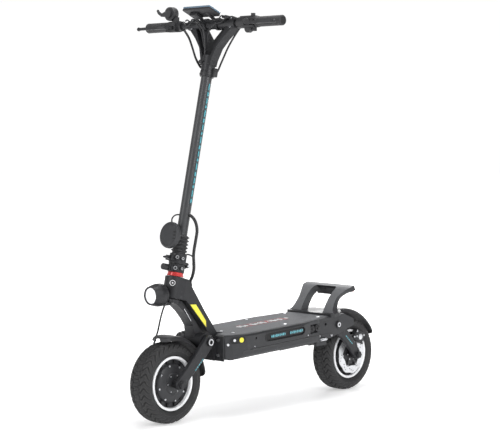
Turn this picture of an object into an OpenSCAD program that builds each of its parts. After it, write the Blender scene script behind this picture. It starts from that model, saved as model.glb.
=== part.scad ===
// Electric kick scooter with two hub motors, sprung swing arms, a fold hinge and a raised rear footrest.
// Axes: +X travel, +Y rider's left, +Z up. Origin on the ground, midway between the axles.

/* [Wheels] */
// Distance between the two axles
wheelbase = 862; // [850:1:875]
// Outer diameter of the tyres
tyre_d = 255; // [250:1:257]
// Width of the tyres
tyre_w = 81; // [78:1:84]
// Diameter of the brake discs
disc_d = 140; // [130:1:142]

/* [Steering] */
// Rake of the steering axis from upright
rake = 12.9; // [12.5:0.1:13.3]
// Place where the steering axis meets the ground
axis_foot = 493.2; // [490:0.1:496]
// Diameter of the stem tube
stem_d = 35; // [33:0.5:36]
// Overall width of the handlebar
bar_w = 602; // [560:1:640]
// Diameter of the rubber grips
grip_d = 32.6; // [30:0.2:34]

/* [Deck] */
// Height of the deck surface above the ground at midspan
deck_top = 273.5; // [272:0.5:275]
// Pitch of the deck, nose down
deck_pitch = 2; // [1.5:0.1:2.5]
// Width of the deck
deck_w = 236; // [230:1:245]
// Depth of the deck body
deck_depth = 78; // [76:1:79]

/* [Suspension] */
// Distance of each swing arm pivot from the middle of the scooter
pivot_x = 303; // [302:0.5:304]
// Height of the swing arm pivots
pivot_z = 247.5; // [246:0.5:249]

/* [Hidden] */
$fn = 48;
axle_x = wheelbase / 2;
axle_z = tyre_d / 2;
tyre_r = tyre_d / 2;
deck_half = deck_w / 2;
bar_p = 8.7;
bar_s = 1282.4;
fold_p = -34;
fold_s = 508.5;
knob_s = 493;
pin_r = 9;
axle_r = 8;
fit = 0.05;
stand_x = -215;
stand_z = 196;
arm_in = 53;
arm_out = 69;
// Route of the cable that leaves the right-hand controls and joins the stem
right_route = [[232, -114, 1240], [238, -104, 1234], [238, -86, 1212], [238, -72, 1183], [238, -56, 1147],
               [238, -38, 1122], [238, -27, 1115]];
// Route of the cable that leaves the left-hand controls and joins the stem
left_route = [[196, 113, 1248], [189, 100, 1243], [186, 84, 1232], [188, 64, 1208], [194, 46, 1178],
              [200, 34, 1150], [207, 26, 1126], [214, 21, 1106], [221, 17, 1095]];
// Route of the lead from the stem to the horn
horn_route = [[352, -16, 650], [364, -21, 649], [377, -21, 642], [387, -15, 633], [391, -8, 625]];
// Route of the loom from the stem, round the fold hinge, into the neck
loom_route = [[343, 16, 652], [335, 27, 641], [332, 37, 624], [331, 41, 600], [331, 35, 570],
              [330, 27, 542], [328, 22, 520], [325, 20, 498], [324, 19, 478], [324, 13, 456],
              [325, 4, 438], [321, 2, 424]];
// Route of the front brake hose from the fork crown to the caliper
hose_route = [[412, -20, 372], [414, -30, 350], [414, -42, 318], [416, -50, 285],
              [422, -56, 258], [430, -57, 236], [434, -56, 224]];

// ---- helpers ----

// Puts children in the steering frame: +Z up the steering axis, +X ahead of it
module steering() {
    translate([axis_foot, 0, 0]) rotate([0, -rake, 0]) children();
}

// Puts children in the deck frame: Z = 0 on the deck surface
module deck() {
    translate([0, 0, deck_top]) rotate([0, deck_pitch, 0]) children();
}

// Extrudes a side-view outline between two values of Y
module side_plate(y0, y1) {
    translate([0, y1, 0]) rotate([90, 0, 0]) linear_extrude(y1 - y0) children();
}

// Cylinder along Y between two values of Y
module cross_cylinder(x, z, r, y0, y1) {
    translate([x, y1, z]) rotate([90, 0, 0]) cylinder(r = r, h = y1 - y0);
}

// Copies children to both sides of the middle plane
module both_sides() {
    children();
    mirror([0, 1, 0]) children();
}

// Spins a half section about a wheel axle; section X is the radius, section Y runs to the left
module wheel_turn(x) {
    translate([x, 0, axle_z]) rotate([-90, 0, 0]) rotate_extrude() children();
}

function unit(v) = v / norm(v);
function tangent(p, i) = unit(p[min(i + 1, len(p) - 1)] - p[max(i - 1, 0)]);
function spline_point(a, b, c, d, t) =
    0.5 * (2 * b + (c - a) * t + (2 * a - 5 * b + 4 * c - d) * t * t
    + (3 * b - a - 3 * c + d) * t * t * t);
function smooth_route(p) = [for (i = [0:len(p) - 2], t = [0, 0.5])
    spline_point(p[max(i - 1, 0)], p[i], p[i + 1], p[min(i + 2, len(p) - 1)], t), p[len(p) - 1]];

// Round cable along a route; side is a direction that the route never follows
module cable(route, r, side) {
    sides = 8;
    p = smooth_route(route);
    rings = len(p);
    points = [for (i = [0:rings - 1])
        let (t = tangent(p, i), n = unit(cross(t, side)), b = cross(t, n))
        for (k = [0:sides - 1]) p[i] + r * (cos(360 * k / sides) * n + sin(360 * k / sides) * b)];
    walls = [for (i = [0:rings - 2], k = [0:sides - 1])
        [i * sides + k, (i + 1) * sides + k,
         (i + 1) * sides + (k + 1) % sides, i * sides + (k + 1) % sides]];
    first_cap = [for (k = [0:sides - 1]) k];
    last_cap = [for (k = [sides - 1:-1:0]) (rings - 1) * sides + k];
    polyhedron(points, concat(walls, [first_cap, last_cap]));
}

// ---- neck and deck ----

neck_side = [[-18, 466], [-31, 466], [-40, 453], [-120, 379], [-187, 322], [-204, 311],
             [-170, 303], [-154, 313], [-136, 326], [-44, 391], [-33, 400], [-18, 400]];

module neck_frame() {
    color("dimgray") difference() {
        union() {
            steering() hull() {
                translate([0, 0, 400]) cylinder(r = 31, h = 68);
                translate([-31, -35, 400]) cube([12, 70, 66]);
            }
            steering() side_plate(-35, 35) polygon(neck_side);
            side_plate(-48, 48) polygon([[222, 184], [262, 182], [262, 259.5], [222, 259.5]]);
        }
        steering() translate([0, 0, 390]) cylinder(r = 20, h = 90);
        steering() translate([0, 0, 390]) cylinder(r = 24, h = 22);
        steering() translate([0, 0, 456]) cylinder(r = 24, h = 22);
        steering() translate([-42, 0, 440]) rotate([0, -22, 0]) cylinder(r = 9, h = 40);
    }
}

module neck_lights() {
    color("yellow") both_sides() steering() side_plate(35, 36.6)
        polygon([[-50, 390], [-75, 394], [-130, 350], [-136, 330]]);
}

module head_bearings() {
    color("silver") steering() for (s = [401, 457])
        translate([0, 0, s]) difference() {
            cylinder(r = 24, h = 10);
            translate([0, 0, -1]) cylinder(r = 15 + fit, h = 12);
        }
}

// Half widths of the deck outline at its stations from front to rear
deck_stations = [[252, 84], [236, 101], [184, deck_half], [-92, deck_half], [-250, 98]];

// Deck outline in plan, drawn in by inset and cut off at the rear
function deck_plan(inset, rear) = let (
        left = [for (q = deck_stations) if (q[0] > rear) [min(q[0], 252 - inset), q[1] - inset]],
        tail = [[rear, 118 - inset - (118 - 98) * max(0, -92 - rear) / 158]],
        half = concat(left, tail))
    concat(half, [for (i = [len(half) - 1:-1:0]) [half[i][0], -half[i][1]]]);

// Long slot with round ends, cut into the left side of the deck
module side_slot(u0, u1, w, r, depth) {
    for (u = [u0, u1])
        translate([u, deck_half - depth, w]) rotate([-90, 0, 0]) cylinder(r = r, h = depth + 4);
    translate([u0, deck_half - depth, w - r]) cube([u1 - u0, depth + 4, 2 * r]);
}

// Charge port and power button stand square to the angled wall at the front left
module port_place(depth) {
    translate([204, 111.4, -18]) rotate([0, 0, -18.1]) rotate([-90, 0, 0]) translate([0, 0, -depth])
        children();
}

module button_place(depth) {
    translate([228.5, 103.4, -17]) rotate([0, 0, -18.1]) rotate([-90, 0, 0]) translate([0, 0, -depth])
        children();
}

module deck_section() {
    translate([-300, 0, 0]) rotate([90, 0, 90]) linear_extrude(600) polygon([
        [-deck_half + 5, -4], [-deck_half, -9], [-deck_half, -52], [-deck_half + 5, -57],
        [-deck_half + 6, -70], [-deck_half + 13, -deck_depth], [deck_half - 13, -deck_depth],
        [deck_half - 6, -70], [deck_half - 5, -57], [deck_half, -52], [deck_half, -9],
        [deck_half - 5, -4]]);
}

module deck_tub() {
    color("dimgray") deck() difference() {
        union() {
            intersection() {
                translate([0, 0, -deck_depth]) linear_extrude(deck_depth - 4) polygon(deck_plan(0, -182));
                deck_section();
            }
            both_sides() translate([216, 72, -deck_depth - 6]) cylinder(r = 11, h = 8);
        }
        translate([0, 0, 5 - deck_depth]) linear_extrude(deck_depth) polygon([[206, 62], [176, 96],
            [-176, 96], [-176, -96], [176, -96], [206, -62]]);
        translate([212, -48.5, -90]) cube([60, 97, 100]);
        both_sides() side_slot(-80, 84, -25, 14, 5);
        port_place(8) cylinder(r = 8.1, h = 20);
        button_place(10) cylinder(r = 4.5 + fit, h = 20);
        translate([142, deck_half - 5, -20]) rotate([-90, 0, 0]) cylinder(r = 4, h = 10);
        both_sides() translate([-190, 98, -44]) cube([62, 30, 30]);
    }
}

module deck_plate() {
    color("gray") deck() difference() {
        translate([0, 0, -4]) linear_extrude(2.4) polygon(deck_plan(3, -249));
        translate([212, -36, -10]) cube([60, 72, 20]);
    }
}

module deck_grip() {
    color("darkgray") deck() difference() {
        translate([0, 0, -1.6]) linear_extrude(1.6) polygon(deck_plan(9, -246));
        translate([212, -38, -10]) cube([60, 76, 20]);
        for (q = deck_bolts) translate([q[0], q[1], -4]) cylinder(r = 5.2, h = 8);
    }
}

deck_bolts = [[196, 66], [196, -66], [196, 14], [-30, 88], [-30, -88], [-210, 76], [-210, -76]];

module chassis_bolts() {
    color("silver") {
        deck() for (q = deck_bolts) translate([q[0], q[1], -1.6]) cylinder(r = 5, h = 3);
        both_sides() for (z = [200, 248])
            translate([257, 60, z]) rotate([0, 90, 0]) cylinder(r = 5, h = 3);
        both_sides() deck() translate([245.4, 91.9, -30]) rotate([0, 0, -46.7])
            rotate([-90, 0, 0]) cylinder(r = 4, h = 3);
    }
}

module battery_pack() {
    color("royalblue") deck() translate([-170, -92, -70]) cube([250, 184, 60]);
}

module motor_controllers() {
    color("slategray") deck() both_sides() translate([90, 8, -70]) cube([84, 76, 38]);
}

module side_lights() {
    color("turquoise") deck() both_sides() {
        translate([-3, deck_half - 5, -31]) cube([72, 2, 12]);
        translate([-89, deck_half - 5, -31]) cube([66, 2, 12]);
    }
}

module charge_cap() {
    color("gold") deck() port_place(8) cylinder(r = 8, h = 9.5);
}

module power_button() {
    color("silver") deck() button_place(6) cylinder(r = 4.5, h = 8.5);
}

module front_bracket() {
    color("dimgray") both_sides() difference() {
        translate([252, 48, 182]) cube([5, 35, 80]);
        for (z = [200, 248]) translate([250, 60, z]) rotate([0, 90, 0]) cylinder(r = 3, h = 10);
    }
}

cover_outline = [[-250, 100], [-262, 108], [-290, 104], [-318, 88], [-346, 60],
                 [-346, -60], [-318, -88], [-290, -104], [-262, -108], [-250, -100]];

module rear_bracket() {
    color("dimgray") difference() {
        union() {
            deck() translate([0, 0, -4]) linear_extrude(11) polygon(cover_outline);
            deck() translate([-250, -98, -12]) cube([66, 196, 7.9]);
            deck() translate([-190, -88, -68]) cube([8, 176, 64]);
            both_sides() side_plate(76, 88) polygon([[-184.8, 212], [-184.8, 272], [-330, 284],
                [-384, 262], [-388, 240], [-330, 222], [-262, 205]]);
            cross_cylinder(-pivot_x, pivot_z, 26, -51, 51);
            translate([-325, -51, 262]) cube([44, 102, 22]);
            translate([-240, 50, 184]) cube([54, 8, 40]);
            translate([-240, 74, 184]) cube([50, 14, 28]);
        }
        cross_cylinder(-pivot_x, pivot_z, pin_r, -90, 90);
        cross_cylinder(-236, 255, 5, 60, 100);
        cross_cylinder(stand_x, stand_z, 5 + fit, 48, 80);
    }
}

module rear_pivot_pin() {
    color("silver") {
        cross_cylinder(-pivot_x, pivot_z, pin_r, -88, 88);
        both_sides() cross_cylinder(-pivot_x, pivot_z, 13, 88, 92);
    }
}

footrest_front = [[-264, 289.8], [-269, 300], [-284, 322], [-300, 342], [-318, 358], [-340, 371],
                  [-364, 379]];
footrest_back = [[-373, 363], [-343, 352], [-323, 340], [-307, 324], [-295, 304], [-289, 290.7]];

module footrest() {
    color("darkgray") difference() {
        intersection() {
            side_plate(-112, 112) polygon(concat(footrest_front, footrest_back));
            translate([-400, 0, 0]) rotate([90, 0, 90]) linear_extrude(200) polygon([
                [103, 289], [91, 308], [84, 330], [90, 350], [107, 368], [107, 382],
                [-107, 382], [-107, 368], [-90, 350], [-84, 330], [-91, 308], [-103, 289]]);
        }
        side_plate(-50, 50) polygon([[-250, 280], [-250, 371], [-356, 371], [-331, 355],
            [-312, 341], [-296, 323], [-282, 303], [-274, 280]]);
        side_plate(-40, 40) polygon([[-250, 280], [-250, 360], [-335, 360], [-352, 344],
            [-345, 330], [-300, 280]]);
        both_sides() translate([-371, 40, 361]) rotate([0, -55, 0]) translate([-4.1, -0.1, -4.1])
            cube([14.2, 60.2, 3.2]);
    }
    color("darkgray") translate([-361, -52, 342]) cube([9, 104, 26]);
}

module tail_light() {
    color("red") both_sides() translate([-371, 40, 361]) rotate([0, -55, 0]) translate([-4, 0, -4])
        cube([14, 60, 3]);
}

fender_crown = [[-348, 288.5], [-420, 286], [-463, 277], [-508, 256], [-548, 221], [-566, 191]];
fender_axle = [-axle_x, axle_z];
function drawn_in(points, depth) = [for (q = points) q - depth * unit(q - fender_axle)];

// Band of the rear fender between two values of Y, drawn in toward the axle
module fender_band(y0, y1, depth) {
    outer = drawn_in(fender_crown, depth);
    inner = drawn_in(fender_crown, depth + 3.5);
    side_plate(y0, y1) polygon(concat(outer, [for (i = [len(inner) - 1:-1:0]) inner[i]]));
}

module rear_fender() {
    color("dimgray") {
        fender_band(-28, 28, 0);
        both_sides() fender_band(28, 35, 2.5);
        both_sides() fender_band(35, 40, 5);
        both_sides() fender_band(38, 40, 8);
    }
}

// Kickstand pivots between two lugs of the rear bracket and folds forward under the deck
module kickstand() {
    color("dimgray") {
        cross_cylinder(stand_x, stand_z, 5, 50, 80);
        cross_cylinder(stand_x, stand_z, 9, 59, 73);
        translate([stand_x, 66, stand_z]) rotate([0, 92, 0]) cylinder(r = 5, h = 186);
    }
}

// ---- fork ----

fork_side = [[28, 397], [-28, 397], [-40, 388], [-97, 345], [-136, 313], [-150, 296],
             [-130, 283], [-110, 275], [-103, 302], [-93, 326], [-72, 345], [-46, 363.5],
             [-9.5, 383], [10, 386], [28, 390]];

module fork_frame() {
    color("dimgray") difference() {
        union() {
            steering() side_plate(-21, 21) polygon(fork_side);
            steering() translate([0, 0, 386]) cylinder(r = 28, h = 11);
            steering() translate([0, 0, 386]) cylinder(r = 15, h = 120);
            cross_cylinder(pivot_x, pivot_z, 26, -51, 51);
        }
        steering() translate([0, 0, 400]) cylinder(r = 11, h = 110);
        cross_cylinder(pivot_x, pivot_z, pin_r, -60, 60);
    }
}

module steering_collar() {
    color("red") steering() translate([0, 0, 470]) difference() {
        union() {
            cylinder(r = 25, h = 12);
            cylinder(r = 27, h = 4);
        }
        translate([0, 0, -1]) cylinder(r = 15, h = 14);
    }
}

module lower_clamp() {
    color("dimgray") steering() difference() {
        union() {
            translate([0, 0, 483]) cylinder(r = 26, h = 25);
            translate([18, -12, knob_s - 9]) cube([24, 24, 19]);
            translate([30, 15, knob_s]) rotate([90, 0, 0]) cylinder(r = 8, h = 30);
            translate([fold_p, -7.5, 499]) cube([20, 15, 9]);
            translate([fold_p, 7.5, fold_s]) rotate([90, 0, 0]) cylinder(r = 6.5, h = 15);
        }
        translate([0, 0, 480]) cylinder(r = 15, h = 30);
        translate([fold_p, 20, fold_s]) rotate([90, 0, 0]) cylinder(r = 4, h = 40);
        translate([24, 0, knob_s]) rotate([0, 90, 0]) cylinder(r = 4.3, h = 30);
    }
}

module fold_pin() {
    color("silver") steering() translate([fold_p, 18, fold_s]) rotate([90, 0, 0])
        cylinder(r = 4, h = 36);
}

module clamp_knob() {
    color("black") steering() translate([0, 0, knob_s]) rotate([0, 90, 0]) {
        translate([0, 0, 28]) cylinder(r = 4, h = 16);
        difference() {
            translate([0, 0, 43]) cylinder(r = 10, h = 16);
            for (a = [0:30:330]) rotate([0, 0, a]) translate([10.8, 0, 42]) cylinder(r = 1.6, h = 20);
        }
    }
}

headlight_x = 436;

module headlight_body() {
    color("dimgray") {
        translate([headlight_x, 0, 405]) rotate([0, 90, 0]) rotate_extrude() polygon([
            [0, 0], [22, 0], [31, 6], [36, 16], [36, 30], [31, 52], [29, 60], [25, 60],
            [25, 54], [0, 54]]);
        translate([434, -12, 370]) cube([18, 24, 14]);
    }
}

module headlight_lens() {
    color("white") translate([headlight_x + 54, 0, 405]) rotate([0, 90, 0])
        rotate_extrude() polygon([[0, 0], [25, 0], [25, 2], [16, 4.5], [0, 5.5]]);
}

module front_fender() {
    color("dimgray") {
        translate([axle_x, 0, axle_z]) rotate([-90, 0, 0]) rotate([0, 0, -178])
            rotate_extrude(angle = 101, $fn = 72) polygon([[146, -26], [143, -34], [136, -40],
                [137, -42], [145, -37], [149, -28], [149, 28], [145, 37], [137, 42], [136, 40],
                [143, 34], [146, 26]]);
        translate([366, 0, 256]) rotate([0, -20, 0]) cylinder(r = 11, h = 21);
    }
}

module front_pivot_pin() {
    color("silver") {
        cross_cylinder(pivot_x, pivot_z, pin_r, -70, 70);
        both_sides() difference() {
            cross_cylinder(pivot_x, pivot_z, 13, 69.5, 74);
            cross_cylinder(pivot_x, pivot_z, 6, 71, 80);
        }
    }
}

module front_hose() {
    color("black") cable(hose_route, 3.2, [1, 0, 0]);
}

// ---- swing arms ----

// Link in side view between two points, with its half width at each end
module link(a, ra, b, rb) {
    n = [-(b - a)[1], (b - a)[0]] / norm(b - a);
    polygon([a + n * ra, b + n * rb, b - n * rb, a - n * ra]);
}

module front_arms() {
    a = [pivot_x, pivot_z];
    b = [axle_x, axle_z];
    color("dimgray") both_sides() difference() {
        union() {
            cross_cylinder(a[0], a[1], 22, arm_in, arm_out);
            side_plate(arm_in, arm_out) link(a, 21, b, 16);
            cross_cylinder(b[0], b[1], 17, arm_in, arm_out);
        }
        cross_cylinder(a[0], a[1], pin_r + fit, 50, 80);
        cross_cylinder(b[0], b[1], axle_r, 50, 80);
    }
}

module rear_arms() {
    a = [-pivot_x, pivot_z];
    m = [-372, 197];
    b = [-axle_x, axle_z];
    color("dimgray") both_sides() difference() {
        union() {
            cross_cylinder(a[0], a[1], 22, arm_in, arm_out);
            side_plate(arm_in, arm_out) link(a, 21, m, 19);
            cross_cylinder(m[0], m[1], 19, arm_in, arm_out);
            side_plate(arm_in, arm_out) link(m, 19, b, 16);
            cross_cylinder(b[0], b[1], 17, arm_in, arm_out);
        }
        cross_cylinder(a[0], a[1], pin_r + fit, 50, 80);
        cross_cylinder(b[0], b[1], axle_r, 50, 80);
    }
}

// Axle with spacers, washers and nuts; the disc stands on the side given by its sign
module axle(x, disc_side) {
    color("silver") {
        cross_cylinder(x, axle_z, axle_r, -80, 80);
        cross_cylinder(x, axle_z, 12, disc_side > 0 ? 42.5 : 40.5, arm_in);
        cross_cylinder(x, axle_z, 12, -arm_in, disc_side > 0 ? -40.5 : -42.5);
        both_sides() cross_cylinder(x, axle_z, 14, arm_out, 71);
        both_sides() translate([x, 78, axle_z]) rotate([90, 0, 0]) cylinder(r = 12.5, h = 7, $fn = 6);
    }
}

module front_axle() {
    axle(axle_x, -1);
}

module rear_axle() {
    axle(-axle_x, 1);
}

// Brake caliper over the disc, built for a disc on the left; turn is its place round the axle
module caliper(x, turn, lean) {
    color("dimgray") translate([x, 0, axle_z]) rotate([0, -turn, 0]) difference() {
        union() {
            translate([50, 34.5, -26]) cube([35, 19.5, 52]);
            translate([44, 43.5, -20]) cube([50, 12, 40]);
            rotate([0, -lean / 2, 0]) translate([24, 47, -38]) cube([34, 5.8, 76]);
        }
        translate([0, 37.8, -60]) cube([disc_d / 2 + 2.5, 4.4, 120]);
        translate([0, 30, -60]) cube([disc_d / 2 + 2.5, 7, 40]);
    }
}

module front_caliper() {
    mirror([0, 1, 0]) caliper(axle_x, 84, 50);
}

module rear_caliper() {
    caliper(-axle_x, 116, -60);
}

// ---- wheels ----

tyre_half = tyre_w / 2;
tyre_profile = [[84, 28], [87.5, 30], [91, tyre_half - 6.5], [99, tyre_half - 2], [107, tyre_half],
    [115, tyre_half - 2.5], [121, tyre_half - 8], [tyre_r - 2, tyre_half - 15.5],
    [tyre_r, tyre_half - 24.5]];
tyre_section = concat([for (q = tyre_profile) [q[0], -q[1]]],
    [for (i = [len(tyre_profile) - 1:-1:0]) tyre_profile[i]]);
rim_section = [[76, -27], [78, -33], [85.5, -33], [85.5, -29], [84, -28], [84, 28], [85.5, 29],
    [85.5, 33], [78, 33], [76, 27]];
motor_section = [[axle_r + fit, -39], [32, -39], [34, -36], [56, -31], [62, -27], [76, -26],
    [76, 26], [62, 27], [56, 31], [34, 36], [32, 39], [axle_r + fit, 39]];

module tyre(x) {
    color("black") wheel_turn(x, $fn = 96) polygon(tyre_section);
}

module rim(x) {
    color("white") wheel_turn(x, $fn = 96) polygon(rim_section);
}

module motor(x) {
    color("dimgray") wheel_turn(x, $fn = 96) polygon(motor_section);
}

// Brake disc with round lightening windows
module disc(x, y0) {
    color("silver") difference() {
        cross_cylinder(x, axle_z, disc_d / 2, y0, y0 + 2);
        cross_cylinder(x, axle_z, 13, y0 - 1, y0 + 3);
        for (a = [0:60:300])
            translate([x + 50 * cos(a), 0, axle_z + 50 * sin(a)]) cross_cylinder(0, 0, 10, y0 - 1, y0 + 3);
    }
}

module front_tyre() {
    tyre(axle_x);
}

module front_rim() {
    rim(axle_x);
}

module front_motor() {
    motor(axle_x);
}

module front_disc() {
    disc(axle_x, -41);
}

module rear_tyre() {
    tyre(-axle_x);
}

module rear_rim() {
    rim(-axle_x);
}

module rear_motor() {
    motor(-axle_x);
}

module rear_disc() {
    disc(-axle_x, 39);
}

// ---- stem ----

bar_x = axis_foot + bar_p * cos(rake) - bar_s * sin(rake);
bar_z = bar_p * sin(rake) + bar_s * cos(rake);

module stem_tube() {
    color("dimgray") steering() difference() {
        translate([0, 0, 514]) cylinder(r = stem_d / 2, h = 644);
        translate([0, 0, 510]) cylinder(r = stem_d / 2 - 3, h = 660);
        both_sides() translate([-4.6, stem_d / 2 - 1.4, 700]) cube([9.2, 4, 386]);
    }
}

module stem_light() {
    color("turquoise") steering() both_sides() translate([-4.5, stem_d / 2 - 1.4, 700.5])
        cube([9, 2.2, 385]);
}

module upper_clamp() {
    color("dimgray") steering() difference() {
        union() {
            translate([0, 0, 509]) cylinder(r = 27, h = 32);
            translate([16, -13, 514]) cube([10, 26, 20]);
            for (q = [-13, 8.3]) translate([20, q, 516]) cube([21, 4.7, 16]);
            for (q = [-16, 8.2]) {
                translate([fold_p, q, 509]) cube([18, 7.8, 9]);
                translate([fold_p, q + 7.8, fold_s]) rotate([90, 0, 0]) cylinder(r = 6.5, h = 7.8);
            }
        }
        translate([0, 0, 514]) cylinder(r = stem_d / 2, h = 40);
        translate([fold_p, 20, fold_s]) rotate([90, 0, 0]) cylinder(r = 4 + fit, h = 40);
        translate([34, 20, 524]) rotate([90, 0, 0]) cylinder(r = 3 + fit, h = 40);
    }
}

module clamp_lever() {
    color("black") steering() {
        translate([34, 12.5, 524]) rotate([90, 0, 0]) cylinder(r = 3, h = 25);
        translate([34, 7.5, 524]) rotate([90, 0, 0]) cylinder(r = 6.5, h = 15);
        side_plate(-7.5, 7.5) polygon([[36, 518], [34, 530], [44, 530], [58, 525], [58, 521]]);
    }
}

bellows_ribs = 5;

module bellows() {
    color("black") steering() difference() {
        union() {
            translate([0, 0, 541]) cylinder(r = 21, h = 60);
            for (i = [0:bellows_ribs - 1]) translate([0, 0, 547 + 11 * i]) {
                cylinder(r1 = 21, r2 = 27, h = 4);
                translate([0, 0, 4]) cylinder(r1 = 27, r2 = 21, h = 4);
            }
        }
        translate([0, 0, 530]) cylinder(r = stem_d / 2, h = 80);
    }
}

module horn() {
    color("dimgray") steering() {
        translate([0, 0, 593]) rotate([0, 90, 0]) rotate_extrude() polygon([
            [0, 34], [26, 34], [40, 42], [42, 46], [42, 52], [39, 56], [0, 58]]);
        translate([18, -8, 612]) cube([18, 16, 18]);
    }
}

// Yoke outlines across the scooter and up the steering axis: the back web and the front ribs
yoke_outer = [[22, 1148], [24, 1166], [38, 1206], [62, 1236], [88, 1261], [97, 1273], [97, 1299],
              [92, 1304], [60, 1298]];
yoke_web = concat(yoke_outer, [[41, 1275], [0, 1229], [0, 1148]]);
yoke_rib = concat(yoke_outer, [[66, 1270], [40, 1220], [14, 1174], [12, 1148]]);

module yoke() {
    color("dimgray") difference() {
        steering() {
            for (side = [0, 1]) mirror([0, side, 0]) {
                translate([-15, 0, 0]) rotate([90, 0, 90]) linear_extrude(13) polygon(yoke_web);
                translate([-3, 0, 0]) rotate([90, 0, 90]) linear_extrude(20) polygon(yoke_rib);
            }
            translate([0, 0, 1118]) cylinder(r = 22, h = 62);
        }
        steering() translate([0, 0, 1100]) cylinder(r = stem_d / 2, h = 58);
        cross_cylinder(bar_x, bar_z, 15.9, -120, 120);
        steering() translate([-30, -24, 1200]) rotate([0, 90, 0]) cylinder(r = 4, h = 60);
        steering() translate([-30, 24, 1200]) rotate([0, 90, 0]) cylinder(r = 4, h = 60);
    }
}

module handlebar() {
    color("black") {
        cross_cylinder(bar_x, bar_z, 15.9, -104, 104);
        difference() {
            cross_cylinder(bar_x, bar_z, 11.1, 4 - bar_w / 2, bar_w / 2 - 4);
            both_sides() cross_cylinder(bar_x, bar_z, 8.6, 130, bar_w / 2);
        }
    }
}

module grips() {
    color("black") both_sides() difference() {
        union() {
            cross_cylinder(bar_x, bar_z, grip_d / 2, bar_w / 2 - 106, bar_w / 2);
            cross_cylinder(bar_x, bar_z, grip_d / 2 + 1.5, bar_w / 2 - 108, bar_w / 2 - 102);
        }
        cross_cylinder(bar_x, bar_z, 11.1, 150, bar_w / 2 - 4);
    }
}

display_tilt = 23;

module display_place() {
    translate([bar_x + 52, 0, bar_z + 38]) rotate([0, -display_tilt, 0]) children();
}

module display_housing() {
    color("black") {
        display_place() translate([-27, -60, -7]) cube([54, 120, 12]);
        both_sides() difference() {
            union() {
                cross_cylinder(bar_x, bar_z, 20, 20, 32);
                side_plate(21, 31) polygon([[bar_x - 2, bar_z + 15], [bar_x + 17, bar_z + 4],
                    [bar_x + 66, bar_z + 37], [bar_x + 36, bar_z + 28]]);
            }
            cross_cylinder(bar_x, bar_z, 15.9, 10, 50);
        }
    }
}

module display_glass() {
    color("steelblue") display_place() translate([-26, -59, 5]) cube([52, 118, 2.5]);
}

pod_y = -178;
pod_z = 41;

module control_pods() {
    color("black") difference() {
        union() {
            cross_cylinder(bar_x, bar_z, 18, -190, -150);
            translate([bar_x, -192, bar_z - 18]) cube([24, 40, 30]);
            translate([bar_x + 1, pod_y, bar_z + pod_z]) rotate([0, 90, 0]) cylinder(r = 22, h = 22);
            translate([bar_x + 2, -172, bar_z + 10]) cube([14, 20, 20]);
            cross_cylinder(bar_x, bar_z, 16, -150, -136);
            cross_cylinder(bar_x, bar_z, 18, 118, 190);
            translate([bar_x, 152, bar_z - 18]) cube([24, 40, 28]);
            translate([bar_x - 12, 128, bar_z + 8]) cube([22, 56, 12]);
            translate([bar_x - 8, 156, bar_z - 28]) cube([20, 28, 16]);
        }
        cross_cylinder(bar_x, bar_z, 11.1, -200, 200);
        for (y = [-175, 175]) {
            translate([bar_x + 12.8, y - 18, bar_z - 10]) cube([24, 36, 11]);
            translate([bar_x + 18.5, y + (y < 0 ? 6 : -6), bar_z - 30]) cylinder(r = 4 + fit, h = 60);
        }
        translate([bar_x - 4, 172, bar_z + 12]) cylinder(r = 7 + fit, h = 20);
        translate([bar_x + 20, pod_y, bar_z + pod_z]) rotate([0, 90, 0]) cylinder(r = 5 + fit, h = 8);
    }
}

// Brake lever blade for the left side: pivot at the clamp, ball at the tip
module brake_lever() {
    color("black") {
        translate([bar_x + 18.5, 169, bar_z - 18]) cylinder(r = 4, h = 28);
        translate([bar_x + 18.5, 169, bar_z - 9.5]) cylinder(r = 5, h = 10);
        translate([0, 0, bar_z - 9]) linear_extrude(9) polygon([[bar_x + 15.5, 171], [bar_x + 26, 166],
            [bar_x + 46, 180], [bar_x + 52, 205], [bar_x + 52, 250], [bar_x + 47, 302],
            [bar_x + 40, 302], [bar_x + 42, 250], [bar_x + 41, 208], [bar_x + 34, 188]]);
        translate([bar_x + 43, 302, bar_z - 4.5]) sphere(r = 6.5);
    }
}

module brake_lever_left() {
    brake_lever();
}

module brake_lever_right() {
    mirror([0, 1, 0]) brake_lever();
}

module throttle_trigger() {
    color("black") translate([0, pod_y, bar_z + pod_z]) {
        translate([bar_x + 20, 0, 0]) rotate([0, 90, 0]) cylinder(r = 5, h = 6);
        translate([bar_x + 23.4, 0, 0]) rotate([0, 90, 0]) cylinder(r = 12, h = 7);
        translate([bar_x + 23.4, 0, 0]) rotate([90, 0, 90]) linear_extrude(7) polygon([[-6, 10],
            [-30, 2], [-44, 10], [-48, 16], [-52, 12], [-46, 2], [-30, -8], [-6, -10]]);
    }
}

module horn_button() {
    color("red") translate([bar_x - 4, 172, bar_z + 16]) cylinder(r = 7, h = 12);
}

module cable_loom() {
    color("black") {
        cable(right_route, 3.6, [1, 0, 0]);
        cable(left_route, 3.6, [1, 0, 0]);
        cable(horn_route, 2.6, [0, 0, 1]);
        cable(loom_route, 5.5, [1, 0, 0]);
    }
}

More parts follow.
